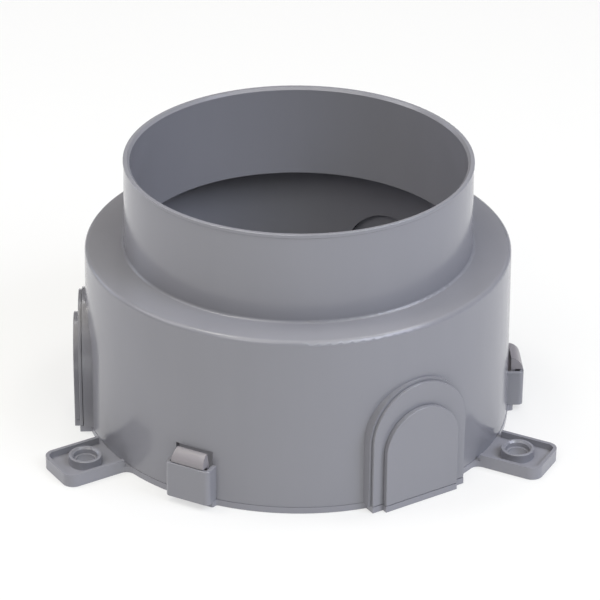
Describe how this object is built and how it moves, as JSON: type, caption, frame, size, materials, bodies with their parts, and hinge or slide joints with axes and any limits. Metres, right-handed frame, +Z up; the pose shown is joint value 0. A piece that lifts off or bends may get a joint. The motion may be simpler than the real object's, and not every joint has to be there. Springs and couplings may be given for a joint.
{
  "type": "floor outlet box",
  "caption": "Round cast-in floor outlet box in grey plastic: drum with a narrower neck, arched conduit knock-outs, clipped-on base and eyed fixing feet.",
  "frame": {"origin": "middle of the base plate's underside", "axes": "+Z up through the neck, +X through the first snap hook, +Y through the first fixing foot"},
  "size_m": [0.2192, 0.2161, 0.1206],
  "materials": {
    "shell_plastic": "satin moulded grey thermoplastic",
    "base_plastic": "satin moulded grey thermoplastic"
  },
  "bodies": {
    "housing": {"upper_shell": "shell_plastic", "base_plate": "base_plastic"},
    "hook_1": {"snap_hook_1": "base_plastic"},
    "hook_2": {"snap_hook_2": "base_plastic"},
    "hook_3": {"snap_hook_3": "base_plastic"},
    "large_1": {"knockout_large_1": "shell_plastic"},
    "small_1": {"knockout_small_1": "shell_plastic"},
    "large_2": {"knockout_large_2": "shell_plastic"},
    "small_2": {"knockout_small_2": "shell_plastic"},
    "large_3": {"knockout_large_3": "shell_plastic"},
    "small_3": {"knockout_small_3": "shell_plastic"}
  },
  "joints": [
    {"name": "hook_flex_1", "type": "hinge", "parent": "housing", "child": "hook_1", "pos_m": [0.095, 0, 0.004], "axis": [0, -1, 0], "range_deg": [0, 7], "stiffness_Nm_per_rad": 0.5},
    {"name": "hook_flex_2", "type": "hinge", "parent": "housing", "child": "hook_2", "pos_m": [-0.0475, 0.08227, 0.004], "axis": [0.866, 0.5, 0], "range_deg": [0, 7], "stiffness_Nm_per_rad": 0.5},
    {"name": "hook_flex_3", "type": "hinge", "parent": "housing", "child": "hook_3", "pos_m": [-0.0475, -0.08227, 0.004], "axis": [-0.866, 0.5, 0], "range_deg": [0, 7], "stiffness_Nm_per_rad": 0.5},
    {"name": "large_knockout_1", "type": "slide", "parent": "housing", "child": "large_1", "axis": [0.5, 0.866, 0], "range_m": [0, 0.03]},
    {"name": "small_knockout_1", "type": "slide", "parent": "large_1", "child": "small_1", "axis": [0.5, 0.866, 0], "range_m": [0, 0.03]},
    {"name": "large_knockout_2", "type": "slide", "parent": "housing", "child": "large_2", "axis": [-1, 0, 0], "range_m": [0, 0.03]},
    {"name": "small_knockout_2", "type": "slide", "parent": "large_2", "child": "small_2", "axis": [-1, 0, 0], "range_m": [0, 0.03]},
    {"name": "large_knockout_3", "type": "slide", "parent": "housing", "child": "large_3", "axis": [0.5, -0.866, 0], "range_m": [0, 0.03]},
    {"name": "small_knockout_3", "type": "slide", "parent": "large_3", "child": "small_3", "axis": [0.5, -0.866, 0], "range_m": [0, 0.03]}
  ]
}
